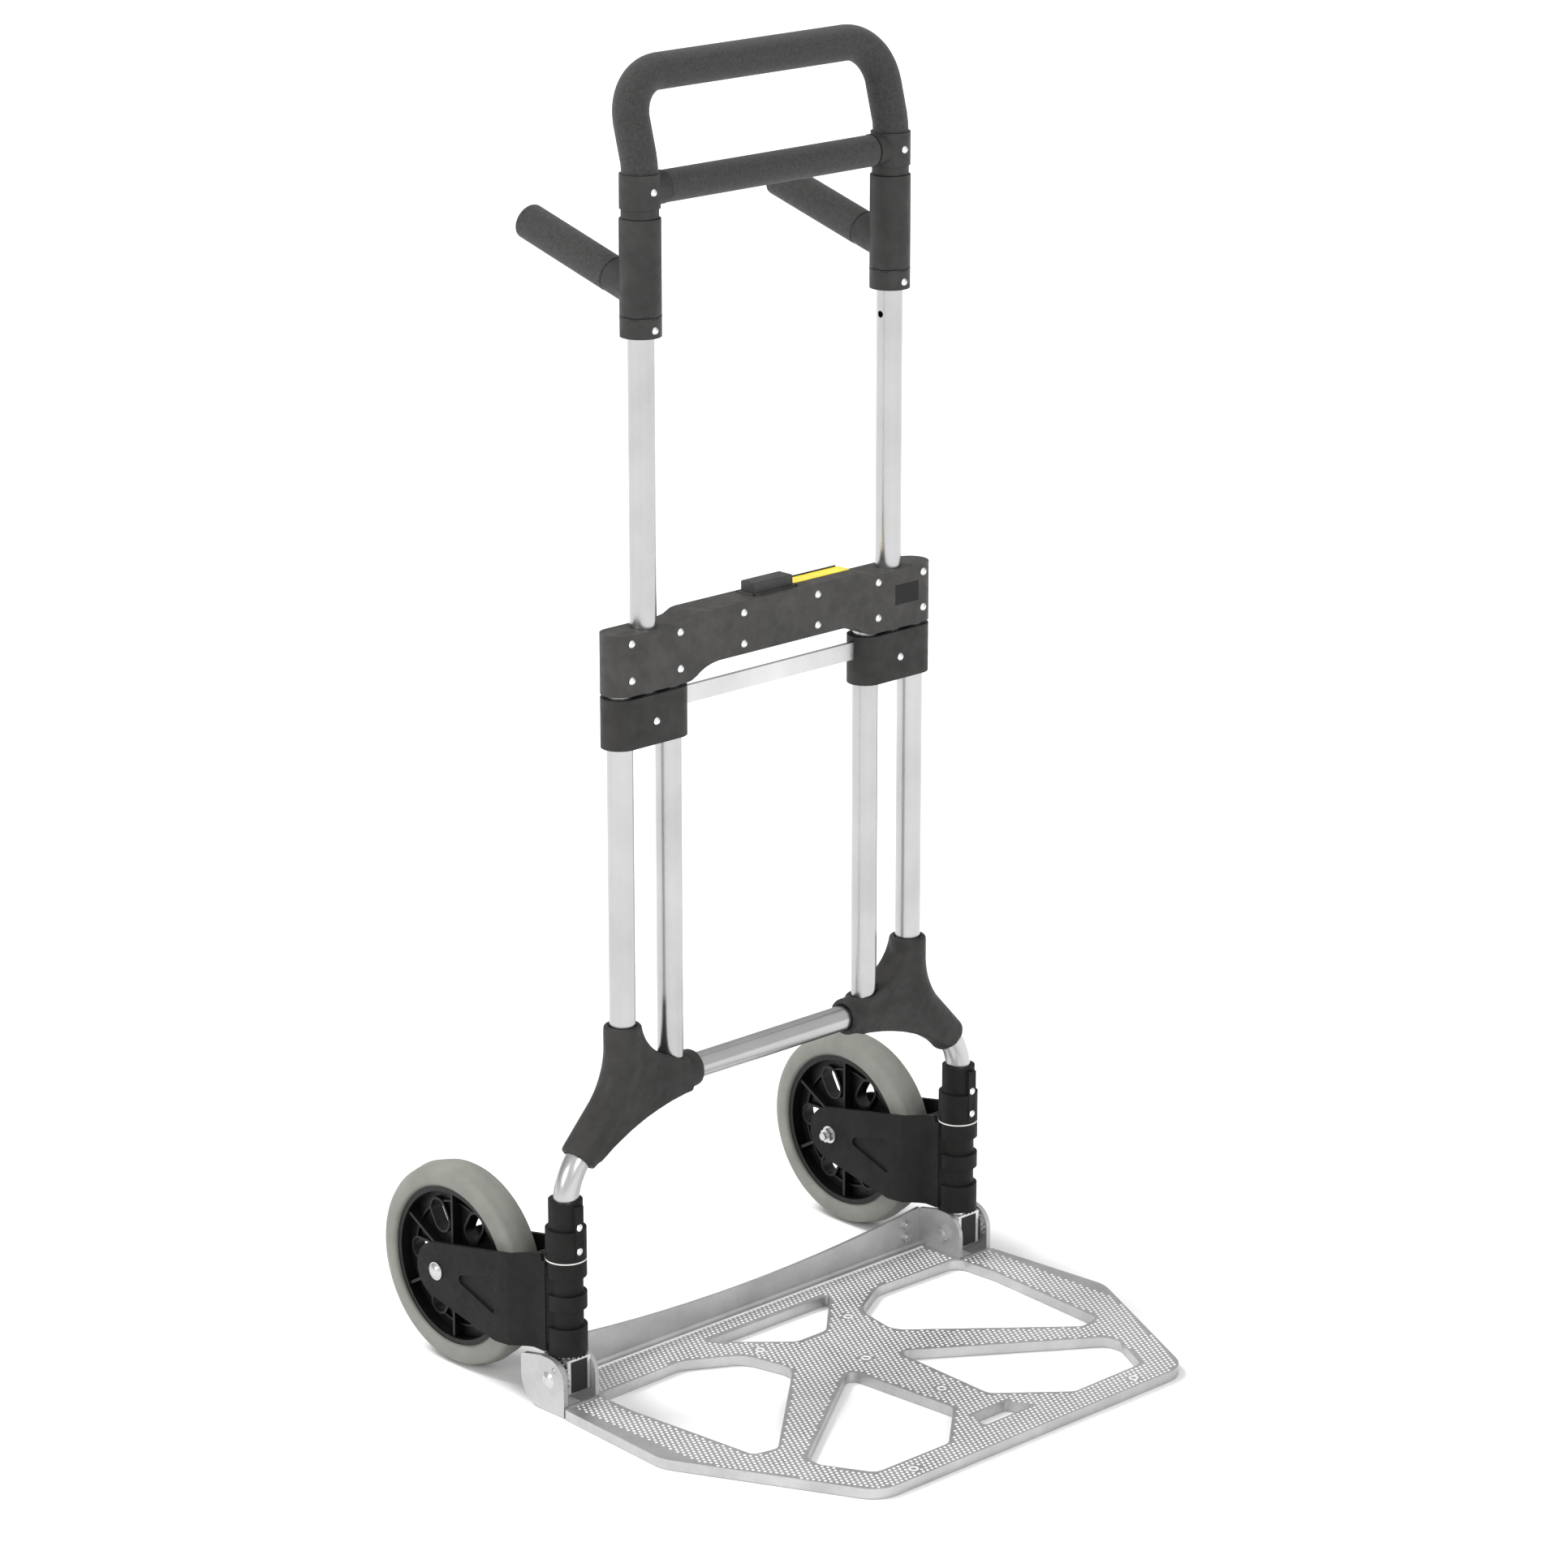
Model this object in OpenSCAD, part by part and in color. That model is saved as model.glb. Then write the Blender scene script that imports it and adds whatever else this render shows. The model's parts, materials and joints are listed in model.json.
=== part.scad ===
// Folding luggage cart: twin-rail aluminium frame with a telescoping handle, swivelling side
// grips, a fold-up cast toe plate and wheel brackets geared to it. Millimetres, +Z up,
// -Y is the toe-plate side, origin on the floor under the centre of the bounding box.

/* [Frame] */
// Centre plane to the axis of an outer frame rail
rail_x = 190.5; // [188:0.5:193]
// Centre plane to the axis of an inner guide tube
guide_x = 129.5; // [127:0.5:132]
// Centre plane to the axis of a handle tube
handle_x = 160; // [159:0.5:161]
// Centre plane to the axis of a wheel column
column_x = 265; // [262:0.5:268]
// Outside diameter of the frame and handle tubes
tube_d = 25; // [24:0.1:26]
// Wall of the aluminium tubes
tube_wall = 1.6; // [1.2:0.1:2]
// Height of the cross tube's axis
cross_z = 299; // [290:1:310]
// Lean of the rails where they spread to the columns, in degrees
spread_angle = 43; // [41:1:45]
// Height where a rail becomes a vertical column
spread_z = 200; // [197:1:203]

/* [Housing] */
// Depth of the release housing and the clamp blocks, front to back
housing_depth = 36; // [35:0.5:38]
// Underside of the housing's end blocks
housing_z = 687.5; // [686:0.5:690]
// Height of the housing's end blocks
housing_end_h = 58; // [56:0.5:60]
// Height of the lock pins' axis
pin_z = 727; // [725:0.5:729]
// Length of the release button
button_w = 50; // [44:1:56]

/* [Handle] */
// Height of the top grip's axis, handle raised
handle_top_z = 1252; // [1240:1:1262]
// Distance the handle drops when it is pushed down
handle_travel = 266.5; // [240:0.5:267]
// Outside diameter of the foam grips
foam_d = 34; // [32:0.5:36]
// Reach of a side grip from its tube's axis
grip_reach = 158; // [140:1:158]
// Upward tilt of a side grip, in degrees
grip_tilt = 16.3; // [12:0.1:18]

/* [Wheels] */
// Diameter of the wheels
wheel_d = 203.2; // [195:0.1:205]
// Width of the tyres
tyre_w = 38; // [30:1:38]
// Column axis to wheel axle
axle_reach = 150; // [149:0.5:152]
// Distance from the wheel's middle plane to the outside of a bracket wall
fork_half = 33.5; // [33:0.1:34]

/* [Toe plate] */
// Height of the toe plate's hinge axis
hinge_z = 32; // [31.5:0.1:33]
// Thickness of the toe plate
plate_t = 10; // [9.5:0.1:10]
// Column axis to the toe plate's front edge
plate_front = 362; // [350:1:370]
// Half of the toe plate's greatest width
plate_half_w = 302; // [298:1:304]
// Column axis to the back of the rear flange
flange_back = 38; // [37.5:0.1:40]

/* [Hidden] */
$fn = 48;
eps = 0.05;
bend_slack = 0.15;
bend_lap = 1.5;
tube_r = tube_d / 2;
bore_r = tube_r - tube_wall;
run_gap = 0.05;
body_gap = 0.4;
wheel_r = wheel_d / 2;
shift_y = (plate_front - axle_reach - wheel_r) / 2;

// Rail spread: a tight low bend, a straight and a wider high bend
spread_r = 68;
spread_r_top = 95;
spread_run = column_x - rail_x - (spread_r + spread_r_top) * (1 - cos(spread_angle));
spread_len = spread_run / sin(spread_angle);
spread_rise = (spread_r + spread_r_top) * sin(spread_angle) + spread_len * cos(spread_angle);
spread_top = spread_z + spread_rise;
rail_top = housing_z + housing_end_h - 3;
rail_foot = 42;
lean_way = [-sin(spread_angle), 0, cos(spread_angle)];
lean_start = [column_x - spread_r * (1 - cos(spread_angle)), 0, spread_z + spread_r * sin(spread_angle)];
lean_end = lean_start + spread_len * lean_way;

// Housing and lock
housing_r = housing_depth / 2;
housing_top = housing_z + housing_end_h + 6;
housing_wall = 4;
arch_z = housing_z + 13.5;
clamp_h = 48;
clamp_z = housing_z - 3.5 - clamp_h;
handle_clear_r = tube_r + 0.35;
pin_r = 3;
pin_hole_r = 3.3;
pin_nose_x = handle_x - tube_r - 0.5;
peg_r = 1.6;
peg_x = 13;
button_up = 4;
button_down = 3;
button_depth = 18;
button_y = 2;
button_h = 11.5;
cam_y = 3.6;
cam_t = 4;
cam_low = 714;
spring_r = 4;
spring_wire = 0.7;
spring_turns = 5;

// Rivets
rivet_rows = [
    [48.3, 740.8], [48.3, 710.8],
    [guide_x, 737.4], [guide_x, 702.2],
    [rail_x, 737.4], [rail_x, 702.2]
];
rivet_r = 2;
dome_r = 3.8;
dome_h = 2.2;

// Handle
handle_foot = 641;
lean_r = 60;
lean_angle = 15;
corner_r = 41.5;
lean_rise = lean_r * sin(lean_angle);
lean_back = lean_r * (1 - cos(lean_angle));
tee_r = 19;
tee_low = 1127;
tee_body = 1135.5;
tee_top = 1167;
lean_z = tee_top;
leg_len = (handle_top_z - lean_z - lean_rise) / cos(lean_angle) - corner_r;
crossbar_z = 1151.4;
crossbar_d = 22;
crossbar_foam_d = 30;
boss_x = 134;
boss_r = 15.6;
collar_r = 19.4;
collar_low = 1018;
collar_top = 1037;
collar_screw_z = 1025.4;
grip_z = 1058.8;
grip_boss = 37;
grip_end = 8;
grip_tube_start = 21;

// Column, bracket and foot
band_r = 19.75;
sleeve_r = 16.2;
sleeve_low = 55.5;
sleeve_top = 149;
bands = [[sleeve_low, 83], [101, 116], [133, sleeve_top]];
washer_t = 1.6;
ring_top = 181;
collar_end = 209;
collar_neck_r = 16.5;
strap_half = 5;
strap_y = 19.9;
strap_rivets = [161, 185];
axle_z = wheel_r;
axle_r = 4;
wall_t = 4;
wall_near = 21;
wall_start = 7;
wall_straight = 24;
wall_wide = 46;
wall_end = 180;
web_low = 66;
web_h = 78;
web_back = 41;
web_front = 15;
wall_end_r = 28.5;
foot_half_x = 14.5;
foot_half_y = 16.5;
foot_low = 16;
foot_top = 52.6;
foot_chamfer = 2.5;
bolt_r = 5;

// Gear teeth between the toe plate and each bracket, one to one
gear_teeth = 24;
gear_step = 360 / gear_teeth;
tooth_w = 1.4;
crown_low = 53.4;
crown_in = 17.6;
sector_root = 19.8;
sector_tip = 21.9;

// Toe plate
ear_t = 4.6;
ear_r = 22.8;
ear_in = -foot_half_x - 0.3;
ear_out = 20.1;
ear_out_t = 5.2;
flange_t = 3.5;
flange_end_h = 50;
flange_mid_h = 36;
slot_front = -24;
front_corner_x = 206;

// Wheel
rim_r = 79.5;
rim_wall = 5.5;
rim_half = 15;
hub_r = 16;
hub_half = fork_half - wall_t - body_gap;
bearing_r = 11;
bearing_w = 7;

// ---------------------------------------------------------------- helpers

function bezier(a, b, c, n = 8) =
    [for (i = [0 : n]) let (t = i / n) (1 - t) * (1 - t) * a + 2 * t * (1 - t) * b + t * t * c];
function mirrored(p) = concat(p, [for (i = [len(p) - 1 : -1 : 0]) [-p[i][0], p[i][1]]]);
function unit(v) = v / norm(v);
// One rounded corner at b, between a and c
function corner(a, b, c, r, n = 6) =
    let (u = unit(a - b), w = unit(c - b), half = acos(u * w) / 2, d = r / tan(half),
         s = b + u * d, e = b + w * d, m = b + unit(u + w) * r / sin(half),
         a0 = atan2(s[1] - m[1], s[0] - m[0]), a1 = atan2(e[1] - m[1], e[0] - m[0]),
         turn = a1 - a0 > 180 ? a1 - a0 - 360 : a1 - a0 < -180 ? a1 - a0 + 360 : a1 - a0)
    [for (i = [0 : n]) m + r * [cos(a0 + turn * i / n), sin(a0 + turn * i / n)]];
// A closed outline of [x, y, corner radius] points
function rounded(p) = [
    for (i = [0 : len(p) - 1])
        let (a = p[(i + len(p) - 1) % len(p)], b = p[i], c = p[(i + 1) % len(p)])
            each b[2] > 0 ? corner([a[0], a[1]], [b[0], b[1]], [c[0], c[1]], b[2]) : [[b[0], b[1]]]
];

module in_frame() translate([0, shift_y, 0]) children();
module on_side(side) {
    if (side < 0) mirror([1, 0, 0]) children();
    else children();
}
module along_x(x, y, z) translate([x, y, z]) rotate([0, 90, 0]) children();
module along_y(x, y, z) translate([x, y, z]) rotate([-90, 0, 0]) children();
module tube(d, h, wall = tube_wall) difference() {
    cylinder(d = d, h = h);
    translate([0, 0, -eps]) cylinder(d = d - 2 * wall, h = h + 2 * eps);
}
// Arc of a round bar that starts at the origin going up and turns towards -X. It is a hair
// thinner than the straights, which run a little way into it
module bend(radius, angle, d)
    translate([-radius, 0, 0]) rotate([90, 0, 0]) rotate_extrude(angle = angle, $fn = 96)
        translate([radius, 0]) circle(d = d - 2 * bend_slack, $fn = 48);
module straight(d, h, before = bend_lap, after = bend_lap)
    translate([0, 0, -before]) cylinder(d = d, h = h + before + after);
module dome(r, h) difference() {
    translate([0, 0, h - (r * r + h * h) / (2 * h)]) sphere(r = (r * r + h * h) / (2 * h));
    translate([0, 0, -2 * r * r / h]) cylinder(r = 2 * r, h = 2 * r * r / h);
}
// Domed fastener with its head facing -Y at the given point and a shank running to +Y
module front_rivet(x, y, z, shank, r = rivet_r, head = dome_r) translate([x, y, z]) {
    rotate([90, 0, 0]) dome(head, dome_h);
    rotate([-90, 0, 0]) cylinder(r = r, h = shank);
}
module hex_head(across, h) cylinder(d = across / cos(30), h = h, $fn = 6);

// ---------------------------------------------------------------- frame

module rail_path(d, low, high) {
    translate([column_x, 0, low]) straight(d, spread_z - low, before = 0);
    translate([column_x, 0, spread_z]) bend(spread_r, spread_angle, d);
    translate(lean_start) rotate([0, -spread_angle, 0]) straight(d, spread_len);
    translate(lean_end) rotate([0, -spread_angle, 0]) mirror([1, 0, 0]) bend(spread_r_top, spread_angle, d);
    translate([rail_x, 0, spread_top]) straight(d, high - spread_top, after = 0);
}
module frame_rail(side) color("silver") in_frame() on_side(side) difference() {
    rail_path(tube_d, rail_foot, rail_top);
    rail_path(tube_d - 2 * tube_wall, rail_foot - eps, rail_top + eps);
    for (row = [4, 5])
        along_y(rivet_rows[row][0], -tube_d, rivet_rows[row][1]) cylinder(r = rivet_r, h = 2 * tube_d);
}
module left_frame_rail() frame_rail(-1);
module right_frame_rail() frame_rail(1);

module guide_tube(side) {
    low = cross_z + tube_r + 1;
    color("silver") in_frame() on_side(side) difference() {
        translate([guide_x, 0, low]) tube(tube_d, rail_top - low);
        for (row = [2, 3])
            along_y(guide_x, -tube_d, rivet_rows[row][1]) cylinder(r = rivet_r, h = 2 * tube_d);
        along_x(guide_x - tube_d, 0, pin_z) cylinder(r = pin_hole_r, h = 2 * tube_d);
    }
}
module left_guide_tube() guide_tube(-1);
module right_guide_tube() guide_tube(1);

cross_half = 182.5;
module cross_tube() color("silver") in_frame() along_x(-cross_half, 0, cross_z) tube(tube_d, 2 * cross_half);

gusset_r = 18.5;
gusset_top = 364;
gusset_arm_x = 100;
gusset_arm_len = 95;
gusset_web_t = 32;
gusset_foot = 4;
module gusset_web() rotate([90, 0, 0]) linear_extrude(gusset_web_t, center = true) polygon(concat(
    bezier([178, 358], [166, 326], [118, cross_z + gusset_r - 1]),
    bezier([112, cross_z - gusset_r + 1], [176, 277], [232, 240]),
    [[lean_start[0], lean_start[2]], [lean_end[0], lean_end[2]], [rail_x, spread_top]]
));
module gusset(side) {
    color([0.24, 0.24, 0.23]) in_frame() on_side(side) difference() {
        union() {
            gusset_web();
            along_x(gusset_arm_x, 0, cross_z) cylinder(r = gusset_r, h = gusset_arm_len);
            translate(lean_start) rotate([0, -spread_angle, 0])
                straight(2 * gusset_r, spread_len, before = gusset_foot);
            translate(lean_end) rotate([0, -spread_angle, 0]) mirror([1, 0, 0])
                bend(spread_r_top, spread_angle, 2 * gusset_r);
            translate([rail_x, 0, spread_top]) straight(2 * gusset_r, gusset_top - spread_top, after = 0);
        }
        rail_path(tube_d, spread_z - 5, gusset_top + 5);
        along_x(gusset_arm_x - 5, 0, cross_z) cylinder(d = tube_d, h = cross_half + 5 - gusset_arm_x);
        translate([guide_x, 0, cross_z + tube_r + 1]) cylinder(d = tube_d, h = 60);
    }
}
module left_gusset() gusset(-1);
module right_gusset() gusset(1);

// ---------------------------------------------------------------- clamp blocks and housing

module stadium(half_x, r, h, from_x = 0) {
    for (x = [from_x, half_x]) translate([x, 0, 0]) cylinder(r = r, h = h, $fn = 96);
    translate([from_x, -r, 0]) cube([half_x - from_x, 2 * r, h]);
}
module clamp_block(side) color([0.23, 0.23, 0.22]) in_frame() on_side(side) difference() {
    translate([0, 0, clamp_z]) stadium(rail_x, housing_r, clamp_h, guide_x);
    for (x = [guide_x, rail_x]) translate([x, 0, clamp_z - 1]) cylinder(d = tube_d, h = clamp_h + 2);
    translate([handle_x, 0, clamp_z - 1]) cylinder(r = tube_r + run_gap, h = clamp_h + 2);
    along_y(handle_x, -housing_r - 1, clamp_z + 22) cylinder(r = rivet_r, h = 5);
    translate([guide_x - tube_r - 8, -brace_t / 2, brace_z]) cube([8.5, brace_t, brace_h]);
}
module left_clamp_block() clamp_block(-1);
module right_clamp_block() clamp_block(1);
module clamp_screws() color("gainsboro") in_frame() for (side = [-1, 1]) on_side(side)
    front_rivet(handle_x, -housing_r, clamp_z + 22, 4);

brace_t = 5;
brace_h = 17;
brace_z = clamp_z + 25.5;
brace_half = guide_x - tube_r - 0.2;
module brace_bar() color("silver") in_frame()
    translate([-brace_half, -brace_t / 2, brace_z]) cube([2 * brace_half, brace_t, brace_h]);

housing_half = concat(
    [[0, arch_z], [76, arch_z]],
    bezier([80, arch_z], [98, arch_z - 1], [109, housing_z + 4]),
    [[116, housing_z + 0.8], [121, housing_z], [rail_x + housing_r, housing_z]],
    [[rail_x + housing_r, housing_z + housing_end_h], [126, housing_z + housing_end_h]],
    [[119, housing_z + housing_end_h + 1], [110, housing_top - 0.8], [104, housing_top], [0, housing_top]]
);
module housing_body() difference() {
    intersection() {
        translate([0, 0, housing_z - 1]) stadium(rail_x, housing_r, housing_end_h + 12, -rail_x);
        rotate([90, 0, 0]) linear_extrude(housing_depth + 2, center = true) polygon(mirrored(housing_half));
    }
    for (side = [-1, 1]) on_side(side) {
        for (x = [guide_x, rail_x]) translate([x, 0, housing_z - 1])
            cylinder(d = tube_d, h = rail_top - housing_z + 1);
        translate([handle_x, 0, housing_z - 1]) cylinder(r = handle_clear_r, h = housing_end_h + 12);
        along_x(95, 0, pin_z) cylinder(r = pin_hole_r, h = handle_x - 95);
        for (row = rivet_rows) along_y(row[0], -housing_depth, row[1])
            cylinder(r = rivet_r, h = 2 * housing_depth);
    }
    cavity_half = 106;
    difference() {
        translate([-cavity_half, -housing_r + housing_wall, arch_z + 3])
            cube([2 * cavity_half, housing_depth - 2 * housing_wall, housing_top - arch_z - 6]);
        for (row = [0, 1], side = [-1, 1])
            along_y(side * rivet_rows[row][0], -housing_depth, rivet_rows[row][1])
                cylinder(r = 4.5, h = 2 * housing_depth);
    }
    translate([-button_w / 2 - 0.4, button_y - button_depth / 2 - 0.4, housing_top - 4])
        cube([button_w + 0.8, button_depth + 0.8, 6]);
}
module back_half() translate([-plate_half_w, 0, 0]) cube([2 * plate_half_w, housing_depth, 2 * housing_z]);
module housing_front() color([0.26, 0.26, 0.25]) in_frame() difference() {
    housing_body();
    back_half();
    translate([plate_x, -housing_r - 1, plate_low]) cube([plate_w, 1.8, plate_h]);
}
module housing_back() color([0.26, 0.26, 0.25]) in_frame() difference() {
    housing_body();
    mirror([0, 1, 0]) back_half();
}
module housing_rivets() color("gainsboro") in_frame() for (side = [-1, 1], row = rivet_rows) {
    front_rivet(side * row[0], -housing_r, row[1], housing_depth);
    translate([side * row[0], housing_r, row[1]]) rotate([-90, 0, 0]) dome(dome_r, dome_h);
}
// Blank sticker on top of the housing and blank badge in its recess
label_x = 32;
label_w = 74;
label_y = -1.5;
label_d = 16;
module blank_label() color("gold") in_frame() translate([label_x, label_y, housing_top])
    cube([label_w, label_d, 0.5]);
plate_x = 152;
plate_w = 32;
plate_h = 20;
plate_low = housing_z + 23;
module blank_plate() color([0.1, 0.1, 0.1]) in_frame() translate([plate_x, -housing_r, plate_low])
    cube([plate_w, 0.8, plate_h]);

// ---------------------------------------------------------------- release button and lock pins

module cam_slot() {
    length = (button_up + button_down) * sqrt(2);
    translate([peg_x + button_up, pin_z - button_up]) rotate(135) {
        circle(r = peg_r + 0.3);
        translate([length, 0]) circle(r = peg_r + 0.3);
        translate([0, -peg_r - 0.3]) square([length, 2 * peg_r + 0.6]);
    }
}
module release_button() color([0.2, 0.2, 0.2]) in_frame() {
    low = housing_top - 8;
    translate([-button_w / 2, button_y - button_depth / 2, low])
        cube([button_w, button_depth, button_h + housing_top - low]);
    difference() {
        translate([-24, cam_y, cam_low]) cube([48, cam_t, low - cam_low]);
        translate([0, cam_y + cam_t + 1, 0]) rotate([90, 0, 0]) linear_extrude(cam_t + 2) {
            cam_slot();
            mirror([1, 0]) cam_slot();
        }
    }
}
module lock_pin(side) color("silver") in_frame() on_side(side) {
    along_x(peg_x - 4, 0, pin_z) cylinder(r = pin_r, h = pin_nose_x - peg_x + 4);
    along_y(peg_x, 0, pin_z) cylinder(r = peg_r, h = cam_y + cam_t + 1);
}
module left_lock_pin() lock_pin(-1);
module right_lock_pin() lock_pin(1);

spring_low = arch_z + 3;
spring_h = cam_low - spring_low;
module button_spring() {
    sides = 8;
    steps = 14;
    count = spring_turns * steps;
    pitch = (spring_h - 2 * spring_wire) / count;
    points = [
        for (i = [0 : count], j = [0 : sides - 1])
            let (a = 360 * i / steps, b = 360 * j / sides, r = spring_r + spring_wire * cos(b))
                [r * cos(a), r * sin(a), spring_wire + i * pitch + spring_wire * sin(b)]
    ];
    walls = [
        for (i = [0 : count - 1], j = [0 : sides - 1])
            let (k = (j + 1) % sides)
                [i * sides + j, (i + 1) * sides + j, (i + 1) * sides + k, i * sides + k]
    ];
    caps = [[for (j = [0 : sides - 1]) j], [for (j = [sides - 1 : -1 : 0]) count * sides + j]];
    color("silver") in_frame() translate([0, cam_y + cam_t / 2, spring_low])
        polyhedron(points = points, faces = concat(walls, caps));
}

// ---------------------------------------------------------------- columns and feet

module column_collar(side) color([0.22, 0.22, 0.21]) in_frame() on_side(side) difference() {
    translate([column_x, 0, 0]) difference() {
        union() {
            translate([0, 0, sleeve_top + washer_t]) cylinder(r = band_r, h = ring_top - sleeve_top - washer_t);
            translate([0, 0, ring_top]) cylinder(r = collar_neck_r, h = collar_end - ring_top);
            translate([-strap_half, -strap_y, sleeve_top + washer_t + 3])
                cube([2 * strap_half, strap_y, collar_end - sleeve_top - washer_t - 6]);
        }
        for (z = strap_rivets) along_y(0, -strap_y - 1, z) cylinder(r = rivet_r, h = strap_y - tube_r + 1);
    }
    rail_path(tube_d, sleeve_top, spread_top);
}
module left_column_collar() column_collar(-1);
module right_column_collar() column_collar(1);
module collar_rivets() color("gainsboro") in_frame() for (side = [-1, 1], z = strap_rivets)
    translate([side * column_x, -strap_y, z]) {
        rotate([90, 0, 0]) dome(3.6, 1.4);
        rotate([-90, 0, 0]) cylinder(r = rivet_r, h = strap_y - tube_r - 0.3);
    }
module column_washers() color("white") in_frame() for (side = [-1, 1])
    translate([side * column_x, 0, sleeve_top + 0.3]) difference() {
        cylinder(r = band_r + 0.2, h = washer_t - 0.3);
        translate([0, 0, -1]) cylinder(d = tube_d, h = 4);
    }

plug_half = 10;
plug_low = 19;
plug_top = 50;
plug_t = 3.2;
module foot_block(side) color("gainsboro") in_frame() on_side(side) translate([column_x, 0, 0]) difference() {
    union() {
        translate([-foot_half_x, -foot_half_y, foot_low])
            cube([2 * foot_half_x, 2 * foot_half_y, foot_top - foot_low]);
        translate([0, 0, foot_top]) cylinder(r = foot_half_x, h = sleeve_low - 0.6 - foot_top);
    }
    translate([0, 0, rail_foot]) cylinder(d = tube_d, h = 30);
    along_x(-20, 0, hinge_z) cylinder(r = bolt_r + run_gap, h = 40);
    translate([-plug_half, -foot_half_y - 1, plug_low]) cube([2 * plug_half, plug_t + 1, plug_top - plug_low]);
    for (y = [-1, 1]) translate([0, y * foot_half_y, foot_low]) rotate([45, 0, 0])
        cube([3 * foot_half_x, foot_chamfer * sqrt(2), foot_chamfer * sqrt(2)], center = true);
}
module left_foot_block() foot_block(-1);
module right_foot_block() foot_block(1);
module foot_plugs() color([0.1, 0.1, 0.1]) in_frame() for (side = [-1, 1])
    translate([side * column_x - plug_half, -foot_half_y - 0.5, plug_low])
        cube([2 * plug_half, plug_t + 0.5, plug_top - plug_low]);

// ---------------------------------------------------------------- toe plate

plate_back = 14;
plate_outline = rounded([
    [0, -plate_front, 0], [front_corner_x, -plate_front, 34], [plate_half_w, -170, 40],
    [column_x + ear_out + ear_out_t + 1, slot_front, 3], [column_x + ear_in - ear_t, slot_front, 0],
    [column_x + ear_in - ear_t, plate_back + 10, 0], [0, plate_back + 10, 0]
]);
// Outer, front and back windows of one half
outer_window = rounded([
    [245, -20, 14], [247, -70, 30], [234, -222, 7], [208, -228, 10], [68, -104, 22], [80, -48, 30],
    [134, -17, 30]
]);
front_window = rounded([
    [32, -143, 8], [204, -262, 18], [206, -280, 14], [180, -329, 12], [86, -330, 12],
    [24, -276, 12]
]);
module half_windows() {
    polygon(outer_window);
    polygon(front_window);
}
module windows() {
    half_windows();
    mirror([1, 0]) half_windows();
    polygon(rounded([[-86, 2, 3], [-20, -60, 16], [20, -60, 16], [86, 2, 3]]));
    polygon(rounded([[-22, -300, 4], [22, -300, 4], [34, -325, 4], [-34, -325, 4]]));
}
module plate_shape() difference() {
    polygon(mirrored(plate_outline));
    windows();
}
skin_t = 3;
rim_t = 5;
ear_corner_r = 28;
ear_shape = rounded([
    [-ear_r, -hinge_z, 0], [-ear_r, ear_r, ear_r - 0.5], [10, ear_r, 8], [flange_back, 17, 5],
    [flange_back, -hinge_z, ear_corner_r]
]);
module ear(x, t) translate([x, 0, hinge_z]) rotate([90, 0, 90]) linear_extrude(t) polygon(ear_shape);
flange_shape = rounded([
    [plate_back, 0, 0], [flange_back, 0, 12], [flange_back, flange_end_h, 0],
    [flange_back - flange_t, flange_end_h, 0], [flange_back - flange_t, plate_t, 4], [plate_back, plate_t, 0]
]);
module flange() {
    half = column_x + ear_in - ear_t + eps;
    drop = flange_end_h - flange_mid_h;
    sweep_r = (half * half + drop * drop) / (2 * drop);
    difference() {
        translate([-half, 0, 0]) rotate([90, 0, 90]) linear_extrude(2 * half) polygon(flange_shape);
        translate([0, 0, flange_mid_h + sweep_r]) rotate([90, 0, 0])
            cylinder(r = sweep_r, h = 200, center = true, $fn = 200);
    }
}
module toe_plate() color([0.78, 0.79, 0.78]) in_frame() difference() {
    union() {
        difference() {
            linear_extrude(plate_t) plate_shape();
            translate([0, 0, -1]) linear_extrude(plate_t - skin_t + 1) offset(delta = -rim_t) plate_shape();
        }
        flange();
        for (side = [-1, 1]) on_side(side) {
            ear(column_x + ear_in - ear_t, ear_t);
            ear(column_x + ear_out, ear_out_t);
            translate([column_x + ear_in - eps, slot_front - 1, 0])
                cube([ear_out - ear_in + 2 * eps, 3, plate_t + 1]);
        }
    }
    for (side = [-1, 1]) on_side(side) {
        along_x(column_x - 60, 0, hinge_z) cylinder(r = bolt_r, h = 120);
        along_x(column_x + ear_out - 1, sector_pin_y, hinge_z + sector_pin_z) cylinder(r = 2, h = 10);
        for (z = catch_z) along_y(catch_x, flange_back - flange_t - 1, z) cylinder(r = 2.5, h = 6);
    }
}
head_h = 3.2;
nut_h = 4.4;
module hinge_bolts() color("silver") in_frame() for (side = [-1, 1]) on_side(side) {
    inner = column_x + ear_in - ear_t - nut_h - 2;
    outer = column_x + ear_out + ear_out_t;
    along_x(inner, 0, hinge_z) cylinder(r = bolt_r, h = outer - inner);
    along_x(outer, 0, hinge_z) dome(8.5, head_h);
}
module hinge_nuts() color("silver") in_frame() for (side = [-1, 1]) on_side(side)
    along_x(column_x + ear_in - ear_t - nut_h, 0, hinge_z) difference() {
        hex_head(15, nut_h);
        translate([0, 0, -1]) cylinder(r = bolt_r, h = nut_h + 2);
    }

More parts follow.
